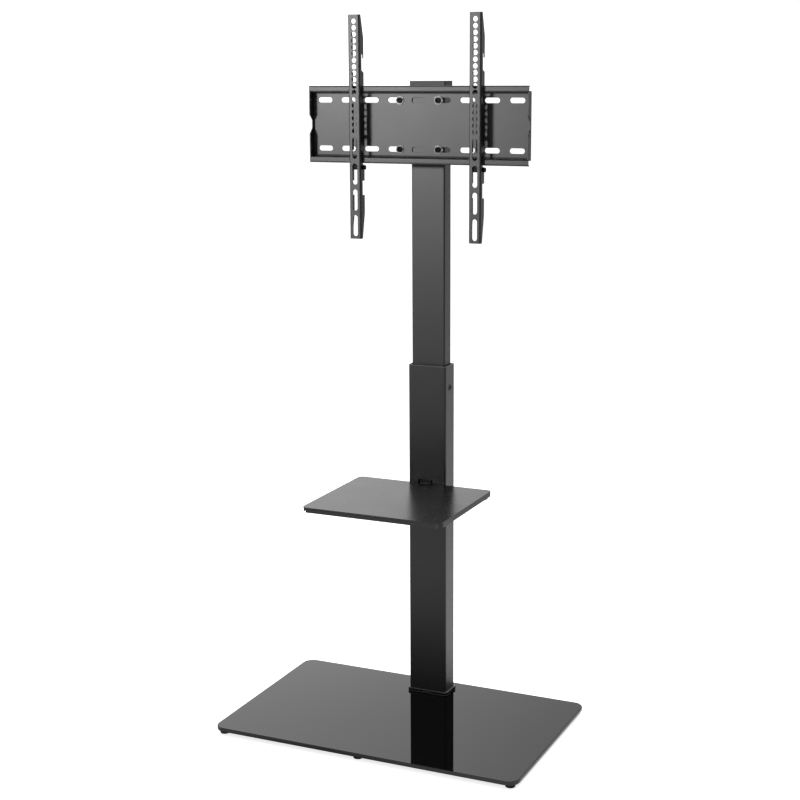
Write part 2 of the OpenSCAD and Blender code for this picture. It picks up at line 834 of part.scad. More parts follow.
// The slotted wall plate: a shallow pan between two hooked rails
module wall_plate() {
    color([0.13, 0.13, 0.14])
    difference() {
        translate([0, rail_y, screen_z]) intersection() {
            union() {
                along_x(-plate_w / 2, plate_w) {
                    half_plate_2d();
                    mirror([0, 1]) half_plate_2d();
                }
                for (x = [-plate_w / 2, plate_w / 2 - plate_t])
                    along_x(x, plate_t) side_flange_2d();
            }
            // Round back edges where the sides are folded
            translate([0, 0, -plate_h / 2]) linear_extrude(plate_h) {
                box_2d([-plate_w / 2, 0], [plate_w / 2, pan_depth + plate_t - fold_r]);
                box_2d([fold_r - plate_w / 2, 0], [plate_w / 2 - fold_r, pan_depth + plate_t]);
                for (s = [-1, 1])
                    translate([s * (plate_w / 2 - fold_r), pan_depth + plate_t - fold_r]) circle(r = fold_r);
            }
        }
        for (i = [0 : slot_columns - 1], s = [-1, 1])
            translate([
                (i - (slot_columns - 1) / 2) * slot_pitch,
                plate_main_y - over,
                screen_z + s * slot_row_distance / 2
            ]) along_y(0, plate_t + 2 * over) slot_2d(slot_len, slot_w);
    }
}

module plate_bolts() {
    color([0.2, 0.2, 0.21])
    at_plate_bolts() translate([0, plate_main_y - m6_washer_t, 0]) rotate([-90, 0, 0])
        socket_screw(m6_r, m6_washer_t + plate_t + swivel_t + m6_nut_h, m6_head_r, m6_low_head_h);
}

module plate_washers() {
    color([0.3, 0.3, 0.32])
    at_plate_bolts() difference() {
        bar_y(plate_main_y - m6_washer_t, m6_washer_t, m6_washer_r);
        bar_y(plate_main_y - m6_washer_t - over, m6_washer_t + 2 * over, m6_r + run_gap);
    }
}

module plate_nuts() {
    color([0.3, 0.3, 0.32])
    at_plate_bolts() translate([0, plate_back_y + swivel_t, 0]) rotate([-90, 0, 0])
        hex_nut(m6_nut_r, m6_nut_h, m6_r + run_gap);
}

// Arms

// Rear edge of one hook, over the height s of its seat: tooth, seat and sloped foot of the notch
function hook_points(s) = [
    [arm_depth, s - tooth_len],
    [arm_depth - tooth_tip_t, s - tooth_len],
    [arm_depth - tooth_root_t, s],
    [arm_seat_d, s],
    [arm_seat_d, s - notch_h],
    [arm_depth, s - notch_h - notch_slope]
];

// Rear edge of one lower notch, over the height s of the rail's upper edge in it
function low_notch_points(s) = [
    [arm_depth, s + low_notch_over],
    [arm_seat_d, s + low_notch_over],
    [arm_seat_d, s - rail_h - low_notch_under],
    [arm_depth, s - rail_h - low_notch_under]
];

// Side view of an arm's flanges, in depth and height over the hook in use
module arm_side_2d() {
    low = rail_h - plate_h;
    end_z = arm_rise - arm_len;
    polygon(concat(
        [[-over, arm_rise], [arm_end_top_d, arm_rise], [arm_depth, arm_rise - arm_taper_top]],
        hook_points(hook_step), hook_points(0),
        low_notch_points(low), low_notch_points(low - hook_step),
        [[arm_depth, end_z + arm_taper_bottom], [arm_end_bottom_d, end_z], [-over, end_z]]
    ));
}

// Section of an arm: a channel that opens to the back
module arm_channel_2d() {
    difference() {
        channel_area(arm_w, arm_fold_r);
        translate([0, arm_t]) channel_area(arm_w - 2 * arm_t, arm_fold_r - arm_t);
    }
}

// A tall area with two round corners at Y = 0
module channel_area(w, r) {
    translate([-w / 2, r]) square([w, arm_depth]);
    translate([r - w / 2, 0]) square([w - 2 * r, r]);
    for (s = [-1, 1])
        translate([s * (w / 2 - r), r]) circle(r = r);
}

// One arm with its middle at x
module arm(x) {
    end_z = arm_rise - arm_len;
    translate([x, arm_y, rail_top_z]) difference() {
        intersection() {
            translate([0, 0, end_z]) linear_extrude(arm_len) arm_channel_2d();
            along_x(-arm_w, 2 * arm_w) arm_side_2d();
        }
        for (i = [0 : hole_count - 1])
            translate([0, 0, arm_rise - first_hole_drop - i * hole_pitch])
                bar_y(-over, arm_t + 2 * over, hole_r);
        for (i = [0 : arm_slots - 1])
            translate([0, 0, end_z + last_slot_rise + i * arm_slot_pitch])
                along_y(-over, arm_t + 2 * over) rotate(90) slot_2d(arm_slot_len, 2 * hole_r);
        translate([0, lock_d, -plate_h - lock_under_rail]) bar_x(-arm_w, 2 * arm_w, m5_r + run_gap);
    }
}

module left_arm() {
    color([0.14, 0.14, 0.15]) arm(-arm_distance / 2);
}

module right_arm() {
    color([0.14, 0.14, 0.15]) arm(arm_distance / 2);
}

// The tapped block welded between an arm's flanges, just under the lower rail
module lock_block(x) {
    difference() {
        translate([x - arm_w / 2 + arm_t, arm_y + arm_fold_r, lock_arm_z - lock_block_under])
            cube([arm_w - 2 * arm_t, lock_block_d, lock_block_under + lock_under_rail - slide_gap]);
        translate([0, arm_y + lock_d, lock_arm_z]) bar_x(x - arm_w, 2 * arm_w, m5_r + run_gap);
    }
}

module left_lock_block() {
    color([0.08, 0.08, 0.08]) lock_block(-arm_distance / 2);
}

module right_lock_block() {
    color([0.08, 0.08, 0.08]) lock_block(arm_distance / 2);
}

// The screw across an arm, under the lower rail, which stops the arm from lifting off
module lock_screw(x) {
    translate([x + arm_w / 2 + face_gap, arm_y + lock_d, lock_arm_z]) rotate([0, -90, 0])
        socket_screw(m5_r, arm_w + face_gap + lock_tail, lock_head_r, lock_head_h);
}

module left_lock_screw() {
    color([0.1, 0.1, 0.1]) lock_screw(-arm_distance / 2);
}

module right_lock_screw() {
    color([0.1, 0.1, 0.1]) lock_screw(arm_distance / 2);
}

base_glass();
feet();
base_gasket();
clamp_plate();
base_bolts();
base_collar();
column_foot();
outer_column();
guide_sleeve();
lock_bush();
height_screw();
shelf();
shelf_bracket();
cross_bar();
shelf_nuts();
bracket_screws();
bracket_nuts();
inner_column();
guide_shoe();
top_cap();
column_bracket();
head_screws();
head_nuts();
swivel_bolt();
swivel_washers();
swivel_nut();
swivel_bracket();
wall_plate();
plate_bolts();
plate_washers();
plate_nuts();
left_arm();
right_arm();
left_lock_block();
right_lock_block();
left_lock_screw();
right_lock_screw();
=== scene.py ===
import json
import math
import bmesh
import bpy
import numpy as np
from mathutils import Matrix, Vector


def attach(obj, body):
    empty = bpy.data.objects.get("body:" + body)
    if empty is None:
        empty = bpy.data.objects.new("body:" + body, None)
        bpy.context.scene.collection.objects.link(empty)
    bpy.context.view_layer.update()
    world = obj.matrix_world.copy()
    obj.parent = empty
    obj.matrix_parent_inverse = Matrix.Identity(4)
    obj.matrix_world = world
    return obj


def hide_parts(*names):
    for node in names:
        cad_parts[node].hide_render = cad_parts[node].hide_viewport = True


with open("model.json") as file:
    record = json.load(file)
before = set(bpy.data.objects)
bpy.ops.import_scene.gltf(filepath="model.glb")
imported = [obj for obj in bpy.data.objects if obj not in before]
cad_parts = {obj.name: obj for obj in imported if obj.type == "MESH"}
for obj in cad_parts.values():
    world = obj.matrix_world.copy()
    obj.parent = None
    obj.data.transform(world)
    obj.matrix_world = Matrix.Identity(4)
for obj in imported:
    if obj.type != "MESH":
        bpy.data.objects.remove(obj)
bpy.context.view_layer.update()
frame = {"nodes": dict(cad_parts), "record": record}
nodes = frame["nodes"]
print("frame loaded:", len(nodes), "nodes")

edgeLean = (0.03, 0.2)  # how far a rounded normal leans where an edge begins, and where it is a full edge


# Shader maths: an expression on wires adds the Math nodes that work it out
class Wire:
    def __init__(self, finish, socket):
        self.finish = finish
        self.socket = socket

    def maths(self, operation, *others):
        return self.finish.node("Math", {"operation": operation}, dict(enumerate((self, *others))))

    def __add__(self, other):
        return self.maths("ADD", other)

    def __sub__(self, other):
        return self.maths("SUBTRACT", other)

    def __rsub__(self, other):
        return self.finish.node("Math", {"operation": "SUBTRACT"}, {0: other, 1: self})

    def __mul__(self, other):
        return self.maths("MULTIPLY", other)

    __radd__ = __add__
    __rmul__ = __mul__


# One material or world and the nodes in it; fixed numbers go on the shader's own sockets
class Finish:
    def __init__(self, name, owner=None):
        self.material = owner or bpy.data.materials.new(name)
        self.material.use_nodes = True
        self.tree = self.material.node_tree
        self.tree.nodes.clear()

    # Makes a node: its settings first, then the values or wires of its sockets
    def node(self, kind, settings=None, inputs=None, output=0):
        made = self.tree.nodes.new("ShaderNode" + kind)
        for key, value in (settings or {}).items():
            setattr(made, key, value)
        for key, value in (inputs or {}).items():
            if isinstance(value, Wire):
                self.tree.links.new(value.socket, made.inputs[key])
            else:
                made.inputs[key].default_value = value
        return Wire(self, made.outputs[output]) if made.outputs else None

    def place(self):
        return self.node("TexCoord", output="Object")

    # One of the three coordinates of a place: 0 to the right, 1 to the back, 2 up
    def axis(self, number, place=None):
        return self.node("SeparateXYZ", inputs={0: place or self.place()}, output=number)

    def noise(self, size, detail=3, rough=0.55):
        inputs = {"Vector": self.place(), "Scale": 1 / size, "Detail": detail, "Roughness": rough}
        return self.node("TexNoise", inputs=inputs)

    # 0 below low and 1 above high, softly in between
    def step(self, value, low, high):
        ends = {"Value": value, "From Min": low, "From Max": high}
        return self.node("MapRange", {"interpolation_type": "SMOOTHSTEP"}, ends)

    # The second colour where the share is 1, the first where it is 0
    def between(self, share, first, second):
        colours = [(*c, 1) if isinstance(c, tuple) else c for c in (first, second)]
        return self.node("Mix", {"data_type": "RGBA"}, {0: share, 6: colours[0], 7: colours[1]}, output=2)

    # A wire's level as red, green and blue alike
    def greyOf(self, level):
        return self.node("CombineColor", inputs={0: level, 1: level, 2: level})

    # Normal with the edges rounded off, and how far it leans there, from 0 on the flats to 1
    def edges(self, radius, reach):
        soft, wide = (self.node("Bevel", {"samples": 4}, {"Radius": size}) for size in (radius, reach))
        flat = self.node("NewGeometry", output="Normal")
        lean = self.node("VectorMath", {"operation": "DOT_PRODUCT"}, {0: wide, 1: flat}, output="Value")
        return soft, self.step(1 - lean, *edgeLean)

    def bump(self, height, depth, normal=None):
        inputs = {"Height": height, "Distance": depth, "Strength": 1.0}
        return self.node("Bump", inputs={**inputs, "Normal": normal} if normal else inputs)

    def surface(self, inputs):
        shader = self.node("BsdfPrincipled", inputs=inputs)
        self.node("OutputMaterial", inputs={"Surface": shader})
        return self.material


# A colour with red, green and blue alike
def grey(level):
    return (level, level, level)


# Powder coat: fine orange peel, faint clouds, dull rubbed spots, rounded edges worn a little paler.
# Some coats have more: a painted highlight as a pale rim round the tube's mouth, duller folds beside the
# plate's floor, a duller top, duller sides, or the ridge of a tube's weld seam down the middle of its back.
def powderCoat(name, look):
    f = Finish(name)
    cloud = f.noise(look["cloudSize"], detail=2)
    peel = f.noise(look["peelSize"], detail=2, rough=0.5)
    grit = f.noise(look["gritSize"], detail=1)
    rubbed = f.step(f.noise(look["rubSize"], detail=5, rough=0.65), *look["rubFade"])
    soft, edge = f.edges(look["edgeRadius"], look["wornReach"])
    worn = edge * f.step(f.noise(look["wornSize"], detail=4, rough=0.7), *look["wornFade"])
    colour = f.between(cloud, look["dark"], look["light"])
    colour = f.between(worn * look["wornShare"], colour, look["worn"])
    roughness = look["roughness"] + look["roughSpread"] * (cloud - 0.5) + look["rubDull"] * rubbed
    relief = peel + look["gritShare"] * grit
    # A painted highlight: a pale band round the top of the tube's mouth
    if "mouthHighlight" in look:
        colour = f.between(f.step(f.axis(2), *look["mouthHighlightFade"]), colour, look["mouthHighlight"])
    if "foldDull" in look:
        away = (f.axis(2) - look["foldMiddle"]).maths("ABSOLUTE")
        fold = f.step(away, *look["foldFade"]) * f.step(f.axis(1), *look["floorFade"])
        roughness = roughness + look["foldDull"] * fold
    if "topDull" in look:
        roughness = roughness + look["topDull"] * f.step(f.axis(2), *look["topFade"])
    if "sidesDull" in look:
        aside = (f.axis(0) - look["sidesMiddle"]).maths("ABSOLUTE")
        roughness = roughness + look["sidesDull"] * f.step(aside, *look["sidesFade"])
    if "seamShare" in look:
        ridge = 1 - f.step(f.axis(0).maths("ABSOLUTE"), 0, look["seamWidth"])
        relief = relief + look["seamShare"] * ridge * f.step(f.axis(1), *look["seamFade"])
    return f.surface({"Base Color": colour, "Roughness": roughness, "Specular IOR Level": look["specular"],
                      "Normal": f.bump(relief, look["peelDepth"], soft)})


# Moulded plastic or rubber: a spark-eroded grain, a little bloom, edges polished by the mould and a little
# paler, and on the
# collar painted highlights: brighter edges and a pale rim along its top
def mouldedGrain(name, look):
    f = Finish(name)
    cloud = f.noise(look["cloudSize"])
    grain = f.noise(look["grainSize"], rough=0.6)
    soft, edge = f.edges(look["edgeRadius"], look["edgeReach"])
    colour = f.between(cloud, look["dark"], look["light"])
    colour = f.between(edge * look["edgeShare"], colour, look["edge"])
    # On the collar, a painted highlight: a pale band along its top
    if "rimHighlight" in look:
        colour = f.between(f.step(f.axis(2), *look["rimHighlightFade"]), colour, look["rimHighlight"])
    roughness = look["roughness"] + look["roughSpread"] * (cloud - 0.5) - look["edgePolish"] * edge
    return f.surface({"Base Color": colour, "Roughness": roughness, "Specular IOR Level": look["specular"],
                      "Normal": f.bump(grain, look["grainDepth"], soft)})


# Plated or blackened steel: fine scratches, stains, a soft shine and brighter edges, which on the dark
# washers are a painted highlight along their rims
def platedSteel(name, look):
    f = Finish(name)
    stain = f.noise(look["stainSize"], detail=4)
    scratch = f.noise(look["scratchSize"], detail=2, rough=0.7)
    soft, edge = f.edges(look["edgeRadius"], 2 * look["edgeRadius"])
    colour = f.between(stain, look["dark"], look["light"])
    colour = f.between(edge * look["edgeShare"], colour, look["bright"])
    roughness = look["roughness"] + look["roughSpread"] * (scratch - 0.5)
    return f.surface({"Base Color": colour, "Roughness": roughness, "Specular IOR Level": look["specular"],
                      "Metallic": look["metallic"], "Normal": f.bump(scratch, look["scratchDepth"], soft)})


# Black glass: lacquered underneath, polished on top, with faint smears and specks of dust
def blackGlass(name, look):
    f = Finish(name)
    smear = f.noise(look["smearSize"])
    dust = f.step(f.noise(look["dustSize"], detail=2, rough=0.8), *look["dustFade"])
    colour = f.between(dust * look["dustShare"], look["lacquer"], look["dust"])
    roughness = look["roughness"] + look["smearDull"] * smear
    return f.surface({"Base Color": colour, "Roughness": roughness, "Specular IOR Level": look["specular"],
                      "Normal": f.bump(smear, look["wave"])})


# Looks: sizes, depths and places are in metres, and a fade says where a share begins and where it is whole
coat = {"dark": (0.0022, 0.0022, 0.0023), "light": (0.0042, 0.0042, 0.0043), "cloudSize": 0.09,
        "worn": (0.03, 0.03, 0.031), "wornShare": 0.5, "wornSize": 0.004, "wornFade": (0.48, 0.66),
        "wornReach": 0.0012, "edgeRadius": 0.0006, "roughness": 0.5, "roughSpread": 0.05, "specular": 0.5,
        "rubSize": 0.03, "rubFade": (0.6, 0.72), "rubDull": 0.04,
        "peelSize": 0.0016, "peelDepth": 0.00004, "gritSize": 0.0005, "gritShare": 0.35}
tubeCoat = {**coat, "edgeRadius": 0.001, "seamFade": (0.155, 0.156), "seamWidth": 0.0015, "seamShare": 3.0}
# The mouth colour is a painted highlight round the lower tube's top
columnCoat = {**tubeCoat, "roughness": 0.45, "mouthHighlight": grey(0.06), "mouthHighlightFade": (0.6988, 0.6991)}
shelfCoat = {**coat, "roughness": 0.27, "rubDull": 0.01, "topDull": 0.7, "topFade": (0.4615, 0.4625),
             "sidesDull": 0.3, "sidesMiddle": -0.004, "sidesFade": (0.1424, 0.1432)}
plateCoat = {**coat, "foldDull": 0.25, "foldMiddle": 1.169, "foldFade": (0.0572, 0.0584),
             "floorFade": (0.0912, 0.092)}
glass = {"lacquer": (0.0008, 0.0008, 0.0009), "dust": grey(0.05), "dustShare": 0.1, "dustSize": 0.0012,
         "dustFade": (0.7, 0.78), "smearSize": 0.08, "smearDull": 0.02, "roughness": 0.015, "wave": 0.00001,
         "specular": 0.6}
rubber = {"dark": grey(0.012), "light": grey(0.03), "cloudSize": 0.02, "roughness": 0.7, "roughSpread": 0.15,
          "specular": 0.3, "grainSize": 0.0006, "grainDepth": 0.00008, "edge": grey(0.06), "edgeShare": 0.2,
          "edgeRadius": 0.0004, "edgeReach": 0.0008, "edgePolish": 0.1}
plastic = {**rubber, "roughness": 0.42, "roughSpread": 0.08, "grainDepth": 0.00004}
# The collar's pale edges and the pale rim along its top are painted highlights
collarPlastic = {**plastic, "roughness": 0.25, "dark": grey(0.002), "light": grey(0.004), "edge": grey(0.3),
                 "edgeShare": 1.0, "edgeRadius": 0.0012, "edgeReach": 0.0024, "rimHighlight": grey(0.1),
                 "rimHighlightFade": (0.0213, 0.0216)}
nylon = {**plastic, "dark": (0.5, 0.48, 0.42), "light": (0.62, 0.6, 0.54)}
zinc = {"dark": (0.28, 0.28, 0.29), "light": (0.45, 0.45, 0.46), "bright": (0.6, 0.6, 0.61),
        "edgeShare": 0.6, "edgeRadius": 0.0003, "roughness": 0.38, "roughSpread": 0.2, "stainSize": 0.006,
        "scratchSize": 0.0006, "scratchDepth": 0.00002, "metallic": 1.0, "specular": 0.5}
# The dark washers' bright edge colour is a painted highlight along their rims
darkWasher = {**zinc, "dark": grey(0.03), "light": grey(0.06), "bright": grey(0.4), "edgeShare": 1.0}
blackened = {**zinc, "metallic": 0.0, "roughness": 0.3, "roughSpread": 0.06, "dark": grey(0.001),
             "light": grey(0.003), "bright": grey(0.015), "specular": 0.02}
blackBush = {**blackened, "bright": grey(0.02), "roughness": 0.46, "specular": 0.2}
finishes = {
    "column_paint": powderCoat("columnCoat", columnCoat),
    "inner_paint": powderCoat("innerCoat", {**tubeCoat, "roughness": 0.49}),
    "shelf_paint": powderCoat("shelfCoat", shelfCoat),
    "bracket_paint": powderCoat("bracketCoat", coat),
    "plate_paint": powderCoat("plateCoat", plateCoat),
    "arm_paint": powderCoat("armCoat", coat),
    "clamp_paint": powderCoat("clampCoat", coat),
    "foot_plate_paint": powderCoat("footPlateCoat", coat),
    "block_paint": powderCoat("blockCoat", {**coat, "roughness": 0.7, "specular": 0.15}),
    "base_glass": blackGlass("baseGlass", glass),
    "foot_rubber": mouldedGrain("footRubber", rubber),
    "gasket_rubber": mouldedGrain("gasketRubber", rubber),
    "collar_plastic": mouldedGrain("collarPlastic", collarPlastic),
    "guide_plastic": mouldedGrain("guidePlastic", plastic),
    "cap_plastic": mouldedGrain("capPlastic", {**plastic, "roughness": 0.6, "specular": 0.33}),
    "washer_nylon": mouldedGrain("washerNylon", nylon),
    "screw_zinc": platedSteel("screwZinc", {**zinc, "dark": grey(0.2), "light": grey(0.3)}),
    "nut_zinc": platedSteel("nutZinc", zinc),
    "washer_steel": platedSteel("washerSteel", darkWasher),
    "bush_steel": platedSteel("bushSteel", blackBush),
    "black_screw": platedSteel("blackScrew", blackened),
}
for part in frame["record"]["subparts"]:
    for slot in nodes[part["node"]].material_slots:
        slot.material = finishes[part["material_slot"]]
print("materials made:", len(finishes))


# One piece from grids of points, each rows x columns x 3 in millimetres. A grid wraps round its columns, and
# a face closes its first and last rows. Faces that meet at less than the sharpest angle are shaded as one.
def piece(name, body, slotName, grids, sharpest, stands=()):
    points, faces, first = [], [], 0
    for grid in grids:
        rows, columns, _ = grid.shape
        index = first + np.arange(rows * columns).reshape(rows, columns)
        following = np.roll(index, -1, axis=1)
        quads = np.stack([index[:-1], following[:-1], following[1:], index[1:]], axis=-1).reshape(-1, 4)
        faces += quads.tolist() + [index[0][::-1].tolist(), index[-1].tolist()]
        points.append(grid.reshape(-1, 3) / 1000)
        first += rows * columns
    mesh = bpy.data.meshes.new(name)
    mesh.from_pydata(np.concatenate(points).tolist(), [], faces)
    sorting = bmesh.new()
    sorting.from_mesh(mesh)
    bmesh.ops.recalc_face_normals(sorting, faces=sorting.faces)
    sorting.to_mesh(mesh)
    sorting.free()
    mesh.shade_smooth()
    mesh.set_sharp_from_angle(angle=math.radians(sharpest))
    mesh.materials.append(finishes[slotName])
    made = bpy.data.objects.new(name, mesh)
    bpy.context.collection.objects.link(made)
    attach(made, body)
    if stands:
        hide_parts(*stands)
    print("piece:", name, len(faces), "faces")


# A profile of (radius, height) pairs turned round a vertical axis through a place
def turned(profile, place, around=48):
    profile = np.array(profile, float)
    angle = np.linspace(0, 2 * np.pi, around, endpoint=False)
    ring = np.column_stack([np.cos(angle), np.sin(angle), np.zeros(around)])
    heights = np.outer(profile[:, 1], (0, 0, 1))
    return profile[:, 0, None, None] * ring + heights[:, None] + place


# An arc of (radius, height) pairs round a middle, from one angle to another in degrees
def arc(middle, radius, start, end, count=6):
    angle = np.radians(np.linspace(start, end, count))
    return list(zip(middle[0] + radius * np.cos(angle), middle[1] + radius * np.sin(angle)))


# Rubber feet: a short cone with a rolled lower lip, and a tread of ring grooves round a sunk middle. Sizes
# of pieces are in millimetres from here on; a turned form is closed at axisGap from its axis.
foot = {"radius": 10.5, "tip": 9.3, "height": 8, "topRound": 0.4, "lip": 1.2, "ringAt": (6.6, 4.8),
        "ringHalf": 0.45, "sunk": 3.2, "sunkDepth": 1.6, "sunkSlope": 0.5, "axisGap": 0.01,
        "places": [(x, y, 0) for x in (-298, -8, 298) for y in (-183, 183)]}
topMiddle = (foot["radius"] - foot["topRound"], foot["height"] - foot["topRound"])
footProfile = [(foot["axisGap"], foot["height"]), (topMiddle[0], foot["height"])]
footProfile += arc(topMiddle, foot["topRound"], 90, 0)
footProfile += arc((foot["tip"] - foot["lip"], foot["lip"]), foot["lip"], 0, -90)
for ring in foot["ringAt"]:
    footProfile += [(ring + foot["ringHalf"], 0)] + arc((ring, 0), foot["ringHalf"], 0, 180, 7)
footProfile += [(foot["sunk"] + foot["sunkSlope"], 0), (foot["sunk"], foot["sunkSlope"])]
footProfile += [(foot["sunk"], foot["sunkDepth"]), (foot["axisGap"], foot["sunkDepth"])]
footGrids = [turned(footProfile, place) for place in foot["places"]]
piece("rubberFeet", "base", "foot_rubber", footGrids, sharpest=50, stands=["feet"])


# The outline of a rectangle with round corners, grown by a margin: points follow the corner arcs in turn
def roundOutline(half, corner, margin, around):
    quarter = around // 4
    angle = np.radians(np.concatenate([np.linspace(0, 90, quarter) + 90 * k for k in range(4)]))
    side = np.repeat([[1, 1], [-1, 1], [-1, -1], [1, -1]], quarter, axis=0)
    centre = side * (np.array(half) - corner)
    return centre + (corner + margin) * np.column_stack([np.cos(angle), np.sin(angle)])


# Rubber gasket: a sheet with round corners, its rim squeezed out a little between glass and plate. The rim
# bulges as half a sine wave from its low to its high side.
gasket = {"middle": (0, 104), "half": (100, 65), "corner": 7.5, "shrink": 0.995, "low": 7.2, "high": 8.0,
          "squeeze": 0.5, "rows": 9, "around": 128}
layers = []
for t in np.linspace(0, 1, gasket["rows"]):
    bulge = gasket["squeeze"] * math.sin(math.pi * t)
    outline = roundOutline(gasket["half"], gasket["corner"], bulge, gasket["around"])
    outline = outline * gasket["shrink"] + gasket["middle"]
    level = gasket["low"] + (gasket["high"] - gasket["low"]) * t
    layers.append(np.column_stack([outline, np.full(len(outline), level)]))
piece("gasketSheet", "base", "gasket_rubber", [np.stack(layers)], sharpest=60, stands=["base_gasket"])

# Weld beads: each line has a start, an end and a radius
armMiddles = {"left": -123.75, "right": 123.75}
bead = {"ripple": 1.7, "swell": 0.16, "lag": 0.25, "around": 16, "perRipple": 6, "extraRows": 8,
        "tipShare": 0.0001, "upright": 0.9}
welds = {
    "bracketWelds": {"body": "base", "slot": "bracket_paint",
                     "lines": [((x, 124, 406), (x, 124, 446), 2.0) for x in (-22, 22)]
                     + [((x, 97, 447.5), (x, 110, 447.5), 1.6) for x in (-25, 25)]},
    "columnEarWelds": {"body": "upper", "slot": "bracket_paint",
                       "lines": [((-12, 131, z), (12, 131, z), 2.0) for z in (1117.1, 1220.9)]},
    "swivelEarWelds": {"body": "head", "slot": "plate_paint",
                       "lines": [((-26, 97, z), (26, 97, z), 2.0) for z in (1112.5, 1225.5)]},
}
for side, middle in armMiddles.items():
    lines = [((middle + x, 71.9, 1083.8), (middle + x, 81.9, 1083.8), 1.3) for x in (-10, 10)]
    welds[side + "BlockWelds"] = {"body": side + "_arm", "slot": "arm_paint", "lines": lines}


# A round section along a line, whose radius swells at each ripple and closes like a ball at both ends. Each
# section is tilted: one side runs ahead by the lag, which is a share of the radius.
def weld(start, end, radius):
    start, end = np.array(start, float), np.array(end, float)
    length = np.linalg.norm(end - start)
    along = (end - start) / length
    across = np.cross(along, (0, 0, 1) if abs(along[2]) < bead["upright"] else (1, 0, 0))
    across = across / np.linalg.norm(across)
    upward = np.cross(along, across)
    t = np.linspace(0, length, int(length / bead["ripple"] * bead["perRipple"]) + bead["extraRows"])
    ends = np.clip(np.minimum(t, length - t) / radius, bead["tipShare"], 1)
    close = np.sqrt(1 - (1 - ends) ** 2)
    swell = 1 + bead["swell"] * np.abs(np.sin(math.pi * t / bead["ripple"]))
    angle = np.linspace(0, 2 * np.pi, bead["around"], endpoint=False)
    circle = np.cos(angle)[:, None] * across + np.sin(angle)[:, None] * upward
    size = radius * close * swell
    shift = np.outer(close, bead["lag"] * radius * np.cos(angle))
    return start + t[:, None, None] * along + size[:, None, None] * circle[None] + shift[..., None] * along


for name, look in welds.items():
    piece(name, look["body"], look["slot"], [weld(*line) for line in look["lines"]], sharpest=60)

# Threads on the bare ends of the shelf's studs, the swivel bolt and the lock screws
threadForm = {"perPitch": 10, "extraRows": 2, "around": 32, "taperShare": 1.2, "taper": 0.3, "tipDrop": 0.5}
threads = {
    "studThreads": {"body": "base", "slot": "nut_zinc", "starts": [(x, 103.5, 443.4) for x in (-94, 86)],
                    "along": (0, 0, -1), "length": 2.45, "radius": 2.5, "pitch": 0.8, "depth": 0.12},
    "swivelBoltThread": {"body": "upper", "slot": "screw_zinc", "starts": [(0, 115, 1099.8)],
                         "along": (0, 0, -1), "length": 2.45, "radius": 5.0, "pitch": 1.5, "depth": 0.2},
}
for side, middle in armMiddles.items():
    threads[side + "LockThread"] = {"body": side + "_lock_screw", "slot": "black_screw",
                                    "starts": [(middle - 12.02, 78.9, 1088)], "along": (-1, 0, 0),
                                    "length": 1.0, "radius": 2.5, "pitch": 0.8, "depth": 0.12}


# The radius swings from root to crest once in each pitch, as the turn climbs, and drops at the tip
def thread(start, look):
    start, along = np.array(start, float), np.array(look["along"], float)
    across = np.array((0, 1, 0), float)
    upward = np.cross(along, across)
    rows = int(look["length"] / look["pitch"] * threadForm["perPitch"]) + threadForm["extraRows"]
    t = np.linspace(0, look["length"], rows)
    angle = np.linspace(0, 2 * np.pi, threadForm["around"], endpoint=False)
    phase = (t[:, None] / look["pitch"] - angle[None] / (2 * np.pi)) % 1
    taper = threadForm["taperShare"] * look["depth"] + threadForm["taper"]
    tip = np.clip((look["length"] - t) / taper, 0, 1)[:, None]
    crest = look["depth"] * (1 - 2 * np.abs(phase - 0.5))
    size = look["radius"] + crest - threadForm["tipDrop"] * (1 - tip)
    circle = np.cos(angle)[:, None] * across + np.sin(angle)[:, None] * upward
    return start + t[:, None, None] * along + size[..., None] * circle[None]


for name, look in threads.items():
    piece(name, look["body"], look["slot"], [thread(start, look) for start in look["starts"]], sharpest=25)

# The pale floor: matt paper lit by the lamps, whitened for the camera, and for mirrors given a glow of
# painted light. Places are in metres from the middle of the base. For mirrors it is brightest just before the
# base and fades towards the front.
# Behind the base it is weak, with a near and a far band that are brighter. It is darkened at the right, and
# close round the base by a painted contact shadow.
floorLook = {"half": 60, "paper": 0.85, "seen": 0.78}
mirror = {"front": 0.8, "frontFade": (-2.8, -0.2), "back": 0.25, "backFade": (-0.2, 0.4),
          "near": 0.45, "nearRise": (0, 0.4), "nearFall": (0.4, 1.6), "far": 0.25, "farFade": (2.7, 3.8),
          "sideSlope": 0.45, "sideFade": (1.4, 2.4), "baseHalf": (0.315, 0.2), "contact": 0.25}
corners = [(x * floorLook["half"], y * floorLook["half"], 0) for x, y in ((-1, -1), (1, -1), (1, 1), (-1, 1))]
floorMesh = bpy.data.meshes.new("floor")
floorMesh.from_pydata(corners, [], [(0, 1, 2, 3)])
floor = bpy.data.objects.new("floor", floorMesh)
bpy.context.collection.objects.link(floor)
paper = Finish("floorPaper")
lit = paper.node("BsdfDiffuse", inputs={"Color": (*grey(floorLook["paper"]), 1)})
fromLeft, fromFront = paper.axis(0), paper.axis(1)
beside = fromLeft.maths("ABSOLUTE") - mirror["baseHalf"][0]
before = fromFront.maths("ABSOLUTE") - mirror["baseHalf"][1]
outside = beside.maths("MAXIMUM", before).maths("MAXIMUM", 0)
toBack = paper.step(fromFront, *mirror["backFade"])
frontPart = mirror["front"] * paper.step(fromFront, *mirror["frontFade"]) * (1 - toBack)
backPart = mirror["back"] * toBack
nearEnd = 1 - paper.step(fromFront, *mirror["nearFall"])
nearPart = mirror["near"] * paper.step(fromFront, *mirror["nearRise"]) * nearEnd
farPart = mirror["far"] * paper.step(fromFront, *mirror["farFade"])
rightShade = 1 - paper.step(fromLeft - mirror["sideSlope"] * fromFront, *mirror["sideFade"])
